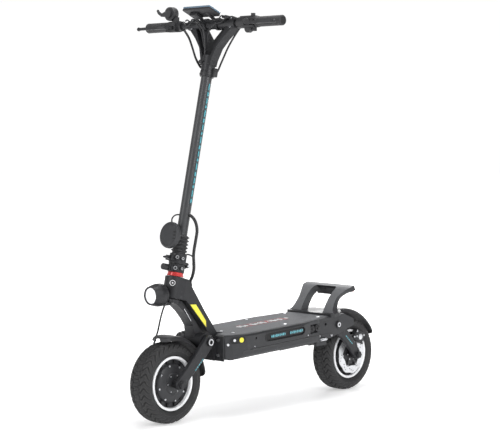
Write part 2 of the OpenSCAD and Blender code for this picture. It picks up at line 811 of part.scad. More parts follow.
neck_frame();
neck_lights();
deck_tub();
deck_plate();
deck_grip();
chassis_bolts();
battery_pack();
motor_controllers();
side_lights();
charge_cap();
front_bracket();
rear_bracket();
footrest();
tail_light();
rear_fender();
head_bearings();
rear_pivot_pin();
power_button();
kickstand();
fork_frame();
steering_collar();
lower_clamp();
fold_pin();
headlight_body();
headlight_lens();
front_fender();
front_pivot_pin();
front_hose();
clamp_knob();
front_arms();
front_axle();
front_caliper();
front_tyre();
front_rim();
front_motor();
front_disc();
rear_arms();
rear_axle();
rear_caliper();
rear_tyre();
rear_rim();
rear_motor();
rear_disc();
stem_tube();
stem_light();
upper_clamp();
bellows();
horn();
yoke();
handlebar();
grips();
display_housing();
display_glass();
control_pods();
cable_loom();
clamp_lever();
brake_lever_left();
brake_lever_right();
throttle_trigger();
horn_button();
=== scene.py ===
from math import atan2, cos, exp, pi, radians, sin, sqrt

import bmesh
import bpy
from mathutils import Matrix, Vector


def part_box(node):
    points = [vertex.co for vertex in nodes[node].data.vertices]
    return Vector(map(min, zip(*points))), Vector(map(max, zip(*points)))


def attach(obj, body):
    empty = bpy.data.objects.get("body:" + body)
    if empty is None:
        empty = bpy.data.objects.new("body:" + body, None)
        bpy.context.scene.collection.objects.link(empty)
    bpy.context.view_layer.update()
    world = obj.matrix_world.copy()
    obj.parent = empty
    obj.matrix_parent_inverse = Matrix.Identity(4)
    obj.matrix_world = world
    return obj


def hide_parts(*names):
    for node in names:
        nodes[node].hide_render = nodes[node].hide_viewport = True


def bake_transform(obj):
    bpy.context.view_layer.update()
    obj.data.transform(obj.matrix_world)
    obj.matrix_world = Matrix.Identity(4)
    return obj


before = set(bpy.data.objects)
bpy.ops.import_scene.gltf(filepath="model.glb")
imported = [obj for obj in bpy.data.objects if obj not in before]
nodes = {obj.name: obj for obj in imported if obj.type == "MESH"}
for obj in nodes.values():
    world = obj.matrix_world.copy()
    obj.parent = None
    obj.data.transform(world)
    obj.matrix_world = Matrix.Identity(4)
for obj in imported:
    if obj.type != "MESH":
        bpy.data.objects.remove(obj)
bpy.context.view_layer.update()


# ---- measures: places read from the frame, then sizes that the part is built to ----

def middle(node):
    low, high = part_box(node)
    return (low + high) / 2


front_axle = middle("front_tyre")
rear_axle = middle("rear_tyre")
bar = middle("handlebar")
bar_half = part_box("grips")[1].y
stem_radius = 0.0175
RAKE = radians(12.9)
AXIS_FOOT = 0.4932
STEER = Matrix.Translation((AXIS_FOOT, 0, 0)) @ Matrix.Rotation(-RAKE, 4, "Y")
DECK = Matrix.Translation((0, 0, 0.2735)) @ Matrix.Rotation(radians(2), 4, "Y")
DECK_HALF = 0.118
PIVOT = Vector((0.303, 0, 0.2475))


def at(x, y, z):
    return Matrix.Translation((x, y, z))


def turn(degrees, axis):
    return Matrix.Rotation(radians(degrees), 4, axis)


# Local Z along the world's +Y, as a wheel or a handlebar grip lies, and along its +X
ALONG_Y = turn(-90, "X")
ALONG_X = turn(90, "Y")
# Radius at which a turned solid stops short of its own axis
CORE = 0.0001


def new_object(name, data):
    obj = bpy.data.objects.new(name, data)
    bpy.context.scene.collection.objects.link(obj)
    return obj


def new_material(name):
    material = bpy.data.materials.new(name)
    material.use_nodes = True
    return material, material.node_tree, material.node_tree.nodes["Principled BSDF"]


def set_inputs(node, values):
    for key, value in values.items():
        node.inputs[key].default_value = value


# ---- camera, floor and lights ----

# The camera's place in metres, its yaw, pitch and roll in degrees, and its lens in millimetres
CAMERA_PLACE = (3.7368, 3.4813, 0.9339)
CAMERA_ANGLES = (-136.682, -3.38, -0.09)
CAMERA_LENS = 111.13


def make_camera():
    data = bpy.data.cameras.new("camera")
    data.lens = CAMERA_LENS
    data.sensor_width = 36
    data.clip_end = 100
    camera = new_object("camera", data)
    yaw, pitch, roll = (radians(a) for a in CAMERA_ANGLES)
    forward = Vector((cos(pitch) * cos(yaw), cos(pitch) * sin(yaw), sin(pitch)))
    camera.location = CAMERA_PLACE
    camera.rotation_mode = "QUATERNION"
    tilt = Matrix.Rotation(roll, 3, "Z").to_quaternion()
    camera.rotation_quaternion = forward.to_track_quat("-Z", "Y") @ tilt
    bpy.context.scene.camera = camera


def make_floor():
    """A pale floor that fades to white away from the scooter."""
    mesh = bpy.data.meshes.new("floor")
    mesh.from_pydata([(-20, -20, 0), (20, -20, 0), (20, 20, 0), (-20, 20, 0)], [], [(0, 1, 2, 3)])
    floor = new_object("floor", mesh)
    material, tree, shader = new_material("floor_white")
    set_inputs(shader, {"Base Color": (0.8, 0.8, 0.805, 1), "Roughness": 0.8, "Specular IOR Level": 0.1,
                        "Emission Color": (1, 1, 1, 1)})
    place = tree.nodes.new("ShaderNodeTexCoord").outputs["Object"]
    away = node_of(tree, "ShaderNodeVectorMath", operation="LENGTH")
    tree.links.new(place, away.inputs[0])
    tree.links.new(ranged(tree, away.outputs["Value"], 0.7, 3.0, 0.42, 0.85),
                   shader.inputs["Emission Strength"])
    mesh.materials.append(material)


def area_light(name, place, target, size, power):
    data = bpy.data.lights.new(name, "AREA")
    data.shape = "RECTANGLE"
    data.size, data.size_y = size
    data.energy = power
    light = new_object(name, data)
    light.location = place
    light.rotation_mode = "QUATERNION"
    light.rotation_quaternion = (Vector(target) - Vector(place)).to_track_quat("-Z", "Y")


def make_lights():
    """A studio with a white horizon, a dim sky and soft boxes to the left, in front, behind and above."""
    world = bpy.data.worlds.new("studio")
    world.use_nodes = True
    tree = world.node_tree
    sky = tree.nodes["Background"]
    height = node_of(tree, "ShaderNodeSeparateXYZ")
    tree.links.new(tree.nodes.new("ShaderNodeTexCoord").outputs["Generated"], height.inputs[0])
    level = ranged(tree, height.outputs["Z"], 0.1, 0.34, 1.02, 0.2)
    tree.links.new(level, sky.inputs["Strength"])
    sky.inputs["Color"].default_value = (1, 1, 1, 1)
    bpy.context.scene.world = world
    area_light("key", (0.6, 3.4, 2.6), (0, 0, 0.4), (1.2, 2.2), 75)
    area_light("front", (3.8, -0.6, 2.2), (0.2, 0, 0.6), (0.9, 2.2), 45)
    area_light("back", (-3.2, -2.4, 2.0), (0, 0, 0.6), (1.0, 2.4), 60)
    area_light("top", (-0.2, 0.2, 3.6), (0, 0, 0.3), (2.2, 1.2), 70)
    bpy.context.scene.view_settings.view_transform = "Standard"


# ---- materials ----

def node_of(tree, kind, **values):
    node = tree.nodes.new(kind)
    for key, value in values.items():
        if hasattr(node, key):
            setattr(node, key, value)
        else:
            node.inputs[key.replace("_", " ")].default_value = value
    return node


def mixed(tree, factor, first, second):
    """A colour between two colours, by the factor socket."""
    mix = tree.nodes.new("ShaderNodeMix")
    mix.data_type = "RGBA"
    tree.links.new(factor, mix.inputs["Factor"])
    for socket, value in ((mix.inputs[6], first), (mix.inputs[7], second)):
        if isinstance(value, bpy.types.NodeSocket):
            tree.links.new(value, socket)
        else:
            socket.default_value = (*value, 1)
    return mix.outputs[2]


def ranged(tree, value, low, high, to_low, to_high):
    """Maps a value between two ranges, held at the ends."""
    node = tree.nodes.new("ShaderNodeMapRange")
    tree.links.new(value, node.inputs["Value"])
    set_inputs(node, {"From Min": low, "From Max": high, "To Min": to_low, "To Max": to_high})
    return node.outputs["Result"]


def surface(name, color, rough=0.5, metallic=0.0, grain=900, bump=0.15, mottle=0.12, wear=None, coat=0.0,
            specular=0.5, emission=0.0, rounding=0.0008, blotch=14, anisotropic=0.0, sheen=0.0, edges=None):
    """A finish with fine grain and a slow change of tone; wear rubs it in patches; edges gives painted shade
    in creases and a painted highlight on its rims.
    """
    material, tree, shader = new_material(name)
    place = tree.nodes.new("ShaderNodeTexCoord").outputs["Object"]
    slow = node_of(tree, "ShaderNodeTexNoise", Scale=blotch, Detail=4.0)
    fine = node_of(tree, "ShaderNodeTexNoise", Scale=grain, Detail=3.0)
    for noise in (slow, fine):
        tree.links.new(place, noise.inputs["Vector"])
    tone = ranged(tree, slow.outputs["Fac"], 0.3, 0.7, 0.0, 1.0)
    dark = tuple(c * (1 - mottle) for c in color)
    light = tuple(min(1.0, c * (1 + mottle)) for c in color)
    base = mixed(tree, tone, dark, light)
    base = mixed(tree, ranged(tree, fine.outputs["Fac"], 0.35, 0.75, 0.0, 0.35), base,
                 tuple(min(1, c * 1.5) for c in color))
    if wear:
        rubbed = node_of(tree, "ShaderNodeTexNoise", Scale=60.0, Detail=6.0)
        tree.links.new(place, rubbed.inputs["Vector"])
        base = mixed(tree, ranged(tree, rubbed.outputs["Fac"], 0.62, 0.78, 0.0, 0.35), base, wear)
    if edges:
        point = tree.nodes.new("ShaderNodeNewGeometry").outputs["Pointiness"]
        # Painted shade: creases, where pointiness is low, darkened to 15 per cent of the colour
        base = mixed(tree, ranged(tree, point, 0.42, 0.5, 1.0, 0.0), base, tuple(c * 0.15 for c in color))
        # Painted highlight: sharp rims, where pointiness is high, lightened towards the edges colour
        base = mixed(tree, ranged(tree, point, 0.51, 0.58, 0.0, 0.6), base, edges)
    tree.links.new(base, shader.inputs["Base Color"])
    tree.links.new(ranged(tree, slow.outputs["Fac"], 0.3, 0.7, rough - 0.06, rough + 0.07),
                   shader.inputs["Roughness"])
    set_inputs(shader, {"Metallic": metallic, "Coat Weight": coat, "Coat Roughness": 0.15,
                        "Specular IOR Level": specular, "Anisotropic": anisotropic, "Sheen Weight": sheen})
    if emission:
        set_inputs(shader, {"Emission Color": (*color, 1), "Emission Strength": emission})
    relief = node_of(tree, "ShaderNodeBump", Strength=bump, Distance=0.0006)
    tree.links.new(fine.outputs["Fac"], relief.inputs["Height"])
    if rounding:
        soft = node_of(tree, "ShaderNodeBevel", samples=4, Radius=rounding)
        tree.links.new(soft.outputs["Normal"], relief.inputs["Normal"])
    tree.links.new(relief.outputs["Normal"], shader.inputs["Normal"])
    return material


black_metal = surface("anodised_black", (0.022, 0.0225, 0.025), rough=0.42, metallic=0.35, grain=1400,
                      bump=0.1, wear=(0.1, 0.1, 0.105))
charcoal = surface("powder_charcoal", (0.03, 0.031, 0.034), rough=0.5, metallic=0.2, grain=1100, bump=0.25,
                   wear=(0.11, 0.11, 0.115))
stem_metal = surface("stem_charcoal", (0.045, 0.046, 0.049), rough=0.42, metallic=0.3, grain=1600, bump=0.12)
footrest_grey = surface("footrest_grey", (0.135, 0.138, 0.145), rough=0.5, metallic=0.25, grain=900,
                        bump=0.2, wear=(0.32, 0.32, 0.33), rounding=0.0014)
footrest_dark = surface("footrest_side", (0.028, 0.029, 0.032), rough=0.5, metallic=0.25, grain=900,
                        bump=0.2)
steel = surface("bright_steel", (0.62, 0.63, 0.65), rough=0.28, metallic=0.95, grain=700,
                bump=0.06, rounding=0.0004)
disc_steel = surface("brushed_disc", (0.64, 0.65, 0.67), rough=0.32, metallic=0.95, grain=500, bump=0.12,
                     rounding=0.0003, anisotropic=0.5, wear=(0.35, 0.33, 0.31))
# The tyre's edges colour paints a highlight on the edges of the tread blocks and painted shade in its
# grooves
tyre_rubber = surface("tyre_rubber", (0.02, 0.02, 0.021), rough=0.72, grain=700, bump=0.3, blotch=30,
                      wear=(0.06, 0.058, 0.056), rounding=0, edges=(0.085, 0.084, 0.082))
rubber = surface("soft_rubber", (0.018, 0.018, 0.02), rough=0.6, grain=1200,
                 bump=0.2, sheen=0.15, rounding=0)
cable_skin = surface("cable_skin", (0.014, 0.014, 0.016), rough=0.45, grain=1500, bump=0.08, rounding=0)
grip_mat = surface("grip_mat", (0.115, 0.118, 0.125), rough=0.82, grain=1900, bump=0.9, mottle=0.16,
                   blotch=30, wear=(0.32, 0.32, 0.33), rounding=0)
black_plastic = surface("black_plastic", (0.02, 0.02, 0.022), rough=0.48, grain=2200, bump=0.2)
fender_plastic = surface("fender_plastic", (0.024, 0.024, 0.026), rough=0.5,
                         grain=1500, bump=0.22, rounding=0)
motor_black = surface("motor_black", (0.03, 0.031, 0.034), rough=0.42, metallic=0.3, grain=900, bump=0.15)
# Near-black, the colour of some black parts; where it stands for holes, slots, grooves and the port's recess
# it is painted shade
pit_black = surface("pit_black", (0.004, 0.004, 0.005), rough=0.6, grain=900, bump=0.1, rounding=0)
white_gloss = surface("white_gloss", (0.8, 0.81, 0.83), rough=0.25, grain=500, bump=0.02,
                      coat=0.5, rounding=0.0004)
yellow_reflector = surface("yellow_reflector", (0.86, 0.76, 0.03), rough=0.3, grain=260, bump=0.5, coat=0.6)
red_gloss = surface("red_gloss", (0.5, 0.025, 0.025), rough=0.32, metallic=0.3,
                    grain=900, bump=0.08, coat=0.4)
red_lamp = surface("red_lamp", (0.75, 0.03, 0.05), rough=0.25, grain=300, bump=0.2, coat=0.6, emission=0.7)
teal_dark = surface("teal_dark", (0.012, 0.05, 0.062), rough=0.2, grain=300, bump=0.1, coat=0.7)
teal_glow = surface("teal_glow", (0.055, 0.27, 0.32), rough=0.3, grain=300, bump=0.05,
                    emission=0.35, rounding=0)
lens_white = surface("lens_white", (0.86, 0.87, 0.9), rough=0.12, grain=200,
                     bump=0.05, coat=1.0, emission=0.4)
screen_glass = surface("screen_glass", (0.09, 0.15, 0.21), rough=0.08, grain=200,
                       bump=0.0, coat=1.0, specular=0.8)
stripe_white = surface("stripe_white", (0.72, 0.72, 0.73), rough=0.6, grain=1400, bump=0.3,
                       rounding=0, wear=(0.35, 0.35, 0.35))
stripe_red = surface("stripe_red", (0.45, 0.06, 0.06), rough=0.6, grain=1400, bump=0.3,
                     rounding=0, wear=(0.25, 0.2, 0.2))

CAD_FINISHES = {
    black_metal: ["fork_frame", "neck_frame", "lower_clamp", "upper_clamp", "yoke",
                  "handlebar", "front_arms", "rear_arms", "clamp_lever", "rear_pivot_pin", "front_pivot_pin",
                  "front_axle", "rear_axle", "brake_lever_left", "brake_lever_right"],
    charcoal: ["deck_tub", "front_bracket", "rear_bracket", "kickstand", "deck_plate"],
    stem_metal: ["stem_tube"],
    steel: ["chassis_bolts", "head_bearings", "fold_pin", "power_button"],
    white_gloss: ["front_rim", "rear_rim"],
    yellow_reflector: ["neck_lights", "charge_cap"],
    red_lamp: ["tail_light"],
    red_gloss: ["steering_collar"],
    teal_dark: ["side_lights", "stem_light"],
    grip_mat: ["deck_grip"],
    black_plastic: ["control_pods", "horn_button", "throttle_trigger", "display_housing", "clamp_knob"],
    pit_black: ["battery_pack", "motor_controllers"],
}


def dress(obj, *materials):
    obj.data.materials.clear()
    for material in materials:
        obj.data.materials.append(material)


def finish_cad_nodes():
    for material, names in CAD_FINISHES.items():
        for name in names:
            dress(nodes[name], material)


# ---- mesh helpers ----

def piece_from(name, verts, faces, material, body, smooth=True, sharp=35):
    mesh = bpy.data.meshes.new(name)
    mesh.from_pydata([tuple(v) for v in verts], [], faces)
    mesh.validate()
    return place_mesh(name, mesh, material, body, smooth, sharp)


def place_mesh(name, mesh, material, body, smooth=True, sharp=35):
    bm = bmesh.new()
    bm.from_mesh(mesh)
    bmesh.ops.recalc_face_normals(bm, faces=bm.faces)
    for face in bm.faces:
        face.smooth = smooth
    for edge in bm.edges:
        if len(edge.link_faces) == 2 and edge.calc_face_angle(0) > radians(sharp):
            edge.smooth = False
    bm.to_mesh(mesh)
    bm.free()
    obj = new_object(name, mesh)
    if material:
        dress(obj, material)
    if body:
        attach(obj, body)
    return obj


def curved(points, steps):
    """Points of a smooth line through the given ones."""
    p = [Vector(q) for q in points]
    n = len(p)
    made = []
    for i in range(n - 1):
        a, b, c, d = p[max(i - 1, 0)], p[i], p[i + 1], p[min(i + 2, n - 1)]
        for k in range(steps):
            t = k / steps
            made.append(0.5 * (2 * b + (c - a) * t + (2 * a - 5 * b + 4 * c - d) * t * t
                               + (3 * b - a - 3 * c + d) * t ** 3))
    return made + [p[-1]]


def ring_faces(segments, n, closed):
    """Faces between the copies of an n-point section that stand round a circle."""
    faces = []
    for i in range(segments):
        j = (i + 1) % segments
        for k in range(n if closed else n - 1):
            m = (k + 1) % n
            faces.append((i * n + k, j * n + k, j * n + m, i * n + m))
    return faces


def lathe_data(profile, matrix, segments=64, closed=True):
    """A section of (radius, height) turned about the matrix's Z; a closed section makes a ring."""
    verts = []
    n = len(profile)
    for i in range(segments):
        a = 2 * pi * i / segments
        verts += [matrix @ Vector((r * cos(a), r * sin(a), h)) for r, h in profile]
    faces = ring_faces(segments, n, closed)
    if not closed:
        faces.append(tuple(i * n for i in range(segments)))
        faces.append(tuple(i * n + n - 1 for i in range(segments)))
    return verts, faces


def band(inner, outer, low, high):
    """Closed section of a flat ring."""
    return [(inner, low), (outer, low), (outer, high), (inner, high)]


def lathe(name, profile, matrix, material, body, segments=64, closed=False, sharp=35):
    verts, faces = lathe_data(profile, matrix, segments, closed)
    return piece_from(name, verts, faces, material, body, sharp=sharp)


def joined(parts):
    verts, faces = [], []
    for v, f in parts:
        faces += [tuple(i + len(verts) for i in face) for face in f]
        verts += v
    return verts, faces


def box_data(size, matrix, bevel=0.001, segments=2):
    bm = bmesh.new()
    bmesh.ops.create_cube(bm, size=1.0)
    bmesh.ops.scale(bm, vec=size, verts=bm.verts)
    bmesh.ops.bevel(bm, geom=list(bm.edges), offset=bevel, segments=segments, profile=0.5, affect="EDGES")
    bm.verts.index_update()
    data = [matrix @ v.co for v in bm.verts], [tuple(v.index for v in f.verts) for f in bm.faces]
    bm.free()
    return data


def group(name, parts, material, body, smooth=True, sharp=35):
    """Several sets of vertices and faces as one piece."""
    return piece_from(name, *joined(parts), material, body, smooth, sharp)


def blocks(name, rows, material, body, bevel=0.001):
    """Rounded blocks joined in one piece; each row is (size, matrix)."""
    return group(name, [box_data(size, matrix, bevel) for size, matrix in rows], material, body)


def screw_data(matrix, r, h):
    """A socket-head screw standing on the matrix's plane."""
    e = min(0.0006, r * 0.15)
    profile = [(r, 0), (r, h - e), (r - e, h), (r * 0.55, h), (r * 0.5, h - e),
               (r * 0.48, h * 0.35), (0.00001, h * 0.35)]
    return lathe_data(profile, matrix, 20, False)


def screws(name, rows, material, body):
    return group(name, [screw_data(m, r, h) for m, r, h in rows], material, body)


def baked(obj):
    """The mesh that an object's outline or modifiers make; the object itself is removed."""
    bpy.context.view_layer.update()
    mesh = bpy.data.meshes.new_from_object(obj.evaluated_get(bpy.context.evaluated_depsgraph_get()))
    bpy.data.objects.remove(obj)
    return mesh


def plate(name, outlines, thickness, matrix, material, body, bevel=0.0006, sharp=35):
    """A flat plate with holes: closed outlines in local X and Y, its thickness along local +Z."""
    data = bpy.data.curves.new(name, "CURVE")
    data.dimensions = "2D"
    data.fill_mode = "BOTH"
    data.extrude = thickness / 2 - bevel
    data.bevel_depth = bevel
    data.bevel_resolution = 1
    data.offset = -bevel
    for outline in outlines:
        spline = data.splines.new("POLY")
        spline.points.add(len(outline) - 1)
        for point, q in zip(spline.points, outline):
            point.co = (q[0], q[1], 0, 1)
        spline.use_cyclic_u = True
    source = new_object(name + "_outline", data)
    mesh = baked(source)
    mesh.transform(matrix @ at(0, 0, thickness / 2))
    return place_mesh(name, mesh, material, body, sharp=sharp)


def circle(x, y, r, count=24):
    return [(x + r * cos(2 * pi * i / count), y + r * sin(2 * pi * i / count)) for i in range(count)]


def tube(name, points, radius, material, body=None, sides=12, ribs=0.0, steps=8):
    """A round cable along a smooth line; ribs is the depth of the rings of a sleeve."""
    line = curved(points, steps)
    verts, faces = [], []
    normal = None
    for i, p in enumerate(line):
        along = (line[min(i + 1, len(line) - 1)] - line[max(i - 1, 0)]).normalized()
        if normal is None:
            normal = along.orthogonal().normalized()
        normal = (normal - along * normal.dot(along)).normalized()
        side = along.cross(normal)
        r = radius - (ribs if i % 2 else 0)
        verts += [p + r * (cos(2 * pi * k / sides) * normal + sin(2 * pi * k / sides) * side)
                  for k in range(sides)]
    for i in range(len(line) - 1):
        for k in range(sides):
            m = (k + 1) % sides
            faces.append((i * sides + k, i * sides + m, (i + 1) * sides + m, (i + 1) * sides + k))
    faces.append(tuple(range(sides)))
    faces.append(tuple((len(line) - 1) * sides + k for k in range(sides)))
    return piece_from(name, verts, faces, material, body, sharp=60)


# ---- wheels ----

TYRE_SECTION = [(0.084, -0.028), (0.0875, -0.03), (0.091, -0.034), (0.099, -0.0385), (0.107, -0.0405),
                (0.115, -0.038), (0.121, -0.0325), (0.1255, -0.025), (0.1275, -0.0145), (0.1275, 0.0)]
TREAD_PITCHES = 34
TREAD_DEPTH = 0.0042
TYRE_STEPS = 480
DISC_RADIUS = 0.07
DISC_THICKNESS = 0.002


def tread_depth(angle, y, r):
    """Depth of the tread cut at a place on the tyre: wavy shoulder bars and a zigzag centre rib."""
    side = abs(y)
    lap = angle * TREAD_PITCHES / (2 * pi) + (0.5 if y < 0 else 0)
    wave = lap + 0.35 * sin(side * 260) - side * 14
    bar_gap = min(1.0, 1.6 * max(0.0, cos(2 * pi * wave)) ** 3)
    zigzag = 0.0125 + 0.0022 * sin(2 * pi * lap)
    rib_gap = exp(-((side - zigzag) / 0.0016) ** 2)
    on_crown = 1.0 if r > 0.114 else max(0.0, (r - 0.098) / 0.016)
    shoulder = on_crown if side > 0.015 else 0.0
    sipe = max(0.0, cos(2 * pi * (lap * 2 + 0.25))) ** 8 * (0.6 if side < 0.01 else 0.0)
    return TREAD_DEPTH * max(bar_gap * shoulder, rib_gap * on_crown, sipe)


def make_tyre(end, centre):
    half = [(r, 0, h) for r, h in TYRE_SECTION]
    rows = [(p.x, p.z) for p in curved(half, 4)]
    section = rows + [(r, -h) for r, h in reversed(rows[:-1])]
    matrix = at(*centre) @ ALONG_Y
    verts = []
    for i in range(TYRE_STEPS):
        a = 2 * pi * i / TYRE_STEPS
        for r, h in section:
            q = r - tread_depth(a, h, r)
            verts.append(matrix @ Vector((q * cos(a), q * sin(a), h)))
    faces = ring_faces(TYRE_STEPS, len(section), True)
    tyre = piece_from(end + "_tyre_tread", verts, faces, tyre_rubber, end + "_wheel", sharp=70)
    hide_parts(end + "_tyre")
    rings = [lathe_data([(r, 0.0), (r + 0.0012, 0.0007), (r + 0.0024, 0.0)], matrix @ at(0, 0, s * y), 96)
             for s in (1, -1) for r, y in ((0.0935, 0.0352), (0.1005, 0.039))]
    group(end + "_tyre_wall_rings", rings, tyre_rubber, end + "_wheel")


def make_motor(end, centre):
    """Hub motor covers: a domed cap, a ring of cooling notches and two rings of screws on each side."""
    matrix = at(*centre) @ ALONG_Y
    half = [(0.00805, 0.039), (0.022, 0.039), (0.031, 0.0378), (0.034, 0.0345), (0.046, 0.033),
            (0.056, 0.0302), (0.06, 0.0272), (0.0625, 0.0215), (0.0745, 0.021), (0.0759, 0.0232)]
    section = half + [(r, -h) for r, h in reversed(half)]
    shell = lathe(end + "_motor_shell", section, matrix, motor_black, end + "_wheel", 96, closed=True)
    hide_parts(end + "_motor")
    lugs, bolts = [], []
    for side in (1, -1):
        flip = matrix if side > 0 else matrix @ turn(180, "X")
        for i in range(14):
            spin = flip @ turn(360 / 14 * i, "Z")
            lugs.append(box_data((0.0105, 0.0085, 0.0062), spin @ at(0.0685, 0, 0.024), 0.0009))
        for i in range(8):
            bolts.append(screw_data(flip @ turn(45 * i + 12, "Z") @ at(0.0562, 0, 0.0296), 0.003, 0.0026))
        for i in range(6):
            bolts.append(screw_data(flip @ turn(60 * i, "Z") @ at(0.0275, 0, 0.038), 0.0022, 0.0016))
    group(end + "_motor_lugs", lugs, pit_black, end + "_wheel")
    group(end + "_motor_screws", bolts, steel, end + "_wheel")


def polar(radius_at, count):
    """Closed outline whose radius follows the angle."""
    angles = [2 * pi * i / count for i in range(count)]
    return [(radius_at(t) * cos(t), radius_at(t) * sin(t)) for t in angles]


def make_disc(end, centre, y0):
    """Wave-edged brake disc with rows of round holes and a bolted carrier."""
    outer = polar(lambda t: DISC_RADIUS - 0.0035 * (0.5 + 0.5 * cos(9 * t)), 180)
    inner = polar(lambda t: 0.044 + 0.003 * cos(6 * t), 90)
    holes = []
    for i in range(9):
        for k, (r, shift) in enumerate(((0.052, 0.0), (0.057, 0.16), (0.062, 0.32))):
            a = 2 * pi * i / 9 + shift
            holes.append(circle(r * cos(a), r * sin(a), 0.0024 - 0.0002 * k, 14))
    matrix = at(centre.x, y0, centre.z) @ ALONG_Y
    ring = plate(end + "_disc_rotor", [outer, inner] + holes, DISC_THICKNESS, matrix, disc_steel,
                 end + "_wheel", bevel=0.0002)
    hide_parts(end + "_disc")
    arms, rivets = [], []
    for i in range(6):
        spin = matrix @ turn(60 * i, "Z")
        arms.append(box_data((0.034, 0.0085, 0.0022), spin @ at(0.031, 0, 0.001) @ turn(14, "Z"), 0.0008))
        rivets.append(screw_data(spin @ at(0.0455, 0.0036, 0.001), 0.0032, 0.0018))
        rivets.append(screw_data(spin @ at(0.0205, 0, 0.001), 0.0024, 0.002))
    hub = lathe_data([(0.0131, 0), (0.0131, 0.002), (0.0225, 0.0022), (0.0235, 0.0014), (0.0235, 0.0)],
                     matrix, 48)
    group(end + "_disc_carrier", arms + [hub], black_metal, end + "_wheel")
    group(end + "_disc_rivets", rivets, steel, end + "_wheel")


def make_caliper(end, centre, degrees, side, body):
    """Caliper body of rounded blocks over the disc, with its bolts and piston cap."""
    mirror = Matrix.Scale(-1, 4, (0, 1, 0)) if side < 0 else Matrix.Identity(4)
    m = mirror @ at(centre.x, 0, centre.z) @ turn(-degrees, "Y")
    rows = [((0.031, 0.0105, 0.05), m @ at(0.07, 0.048, 0)),
            ((0.03, 0.003, 0.046), m @ at(0.0685, 0.0362, 0)),
            ((0.014, 0.017, 0.05), m @ at(0.0795, 0.0445, 0)),
            ((0.017, 0.006, 0.06), m @ at(0.055, 0.05, 0))]
    shell = blocks(end + "_caliper_body", rows, black_metal, body, bevel=0.0022)
    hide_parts(end + "_caliper")
    cap = lathe_data([(CORE, 0), (0.0105, 0), (0.0105, 0.001), (0.0085, 0.0022), (CORE, 0.0022)],
                     m @ at(0.068, 0.0527, 0.006) @ ALONG_Y, 32, False)
    bolts = [screw_data(m @ at(x, 0.053, z) @ ALONG_Y, 0.0034, 0.0028)
             for x, z in ((0.079, 0.0205), (0.079, -0.0205), (0.056, 0.0255), (0.056, -0.0255),
                          (0.0625, -0.0135))]
    group(end + "_caliper_bolts", bolts + [cap], steel, body)


def make_wheels():
    for end, centre, disc_y in (("front", front_axle, -0.041), ("rear", rear_axle, 0.039)):
        make_tyre(end, centre)
        make_motor(end, centre)
        make_disc(end, centre, disc_y)
    make_caliper("front", front_axle, 84, -1, "front_arm")
    make_caliper("rear", rear_axle, 116, 1, "rear_arm")


# ---- mudguards ----

MUDGUARD_THICKNESS = 0.0028
ROW_POINTS = 17


def sheet_from(name, rows, thickness, material, body):
    """A thin moulded sheet with its middle on a grid of points."""
    cols = len(rows[0])
    verts = [p for row in rows for p in row]
    faces = [(i * cols + k, i * cols + k + 1, (i + 1) * cols + k + 1, (i + 1) * cols + k)
             for i in range(len(rows) - 1) for k in range(cols - 1)]
    obj = piece_from(name, verts, faces, material, None, sharp=50)
    solid = obj.modifiers.new("thickness", "SOLIDIFY")
    solid.thickness = thickness
    solid.offset = 0
    return place_mesh(name, baked(obj), material, body, sharp=50)


def fender_rows(centre, ring, half_width, tip):
    """Rows across a mudguard: ring holds (angle, radius), tip is the share of it that an end rounds."""
    rows = []
    total = len(ring) - 1
    for i, (angle, radius) in enumerate(ring):
        from_end = min(i, total - i) / total
        half = half_width * min(1.0, sqrt(max(0.0, 1 - (1 - min(1.0, from_end / tip)) ** 2)) * 0.75 + 0.27)
        row = []
        for k in range(ROW_POINTS):
            v = 2 * k / (ROW_POINTS - 1) - 1
            drop = 0.0015 * abs(v) ** 2 + 0.011 * max(0.0, (abs(v) - 0.55) / 0.45) ** 2
            r = radius - drop
            row.append(Vector((centre.x + r * cos(angle), v * half, centre.z + r * sin(angle))))
        rows.append(row)
    return rows


def make_fenders():
    steps = 60
    ring = [(radians(77 + 101 * i / steps), 0.1475) for i in range(steps + 1)]
    front = sheet_from("front_mudguard", fender_rows(front_axle, ring, 0.041, 0.09),
                       MUDGUARD_THICKNESS, fender_plastic, "fork")
    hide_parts("front_fender")
    knob = [(CORE, 0.0), (0.011, 0.0), (0.011, 0.017), (0.01, 0.0195), (0.006, 0.0208), (CORE, 0.0208)]
    lathe("front_mudguard_knob", knob, at(0.366, 0, 0.2565) @ turn(-20, "Y"), black_plastic,
                  "fork", 40)
    crown = curved([(-0.338, 0, 0.2905), (-0.38, 0, 0.2898), (-0.42, 0, 0.2875), (-0.463, 0, 0.2775),
                    (-0.508, 0, 0.2555), (-0.547, 0, 0.221), (-0.5645, 0, 0.1905)], 9)
    ring = []
    for p in crown:
        out = p - Vector((rear_axle.x, 0, rear_axle.z))
        ring.append((atan2(out.z, out.x), out.length))
    rear = sheet_from("rear_mudguard", fender_rows(rear_axle, ring, 0.0395, 0.1), MUDGUARD_THICKNESS,
                      fender_plastic, "chassis")
    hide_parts("rear_fender")


# ---- deck ----

def stadium(half, radius, count=12):
    """Outline of a slot with round ends, centred, along X."""
    ends = []
    for sign in (1, -1):
        ends += [(sign * half + sign * radius * sin(pi * k / count), sign * radius * -cos(pi * k / count))
                 for k in range(count + 1)]
    return ends


LAMP_X = 0.002
LAMP_Z = -0.025
LAMP_HALF = 0.082


def make_deck_stripes():
    """Painted bars down the middle of the grip mat, and a thin line on both sides of them."""
    white, red = [], []
    for i in range(15):
        x = 0.098 - 0.0165 * i
        long = (0.02, 0.026, 0.014)[i % 3]
        bar_data = box_data((0.005 if i % 2 else 0.0085, long, 0.0004),
                            DECK @ at(x, 0, 0.0002) @ turn(14, "Z"), 0.0001, 1)
        (red if i % 5 == 3 else white).append(bar_data)
    for y in (-0.019, 0.019):
        red.append(box_data((0.215, 0.0012, 0.0004), DECK @ at(-0.016, y, 0.0002), 0.0001, 1))
    group("deck_stripes_white", white, stripe_white, "chassis", smooth=False)
    group("deck_stripes_red", red, stripe_red, "chassis", smooth=False)


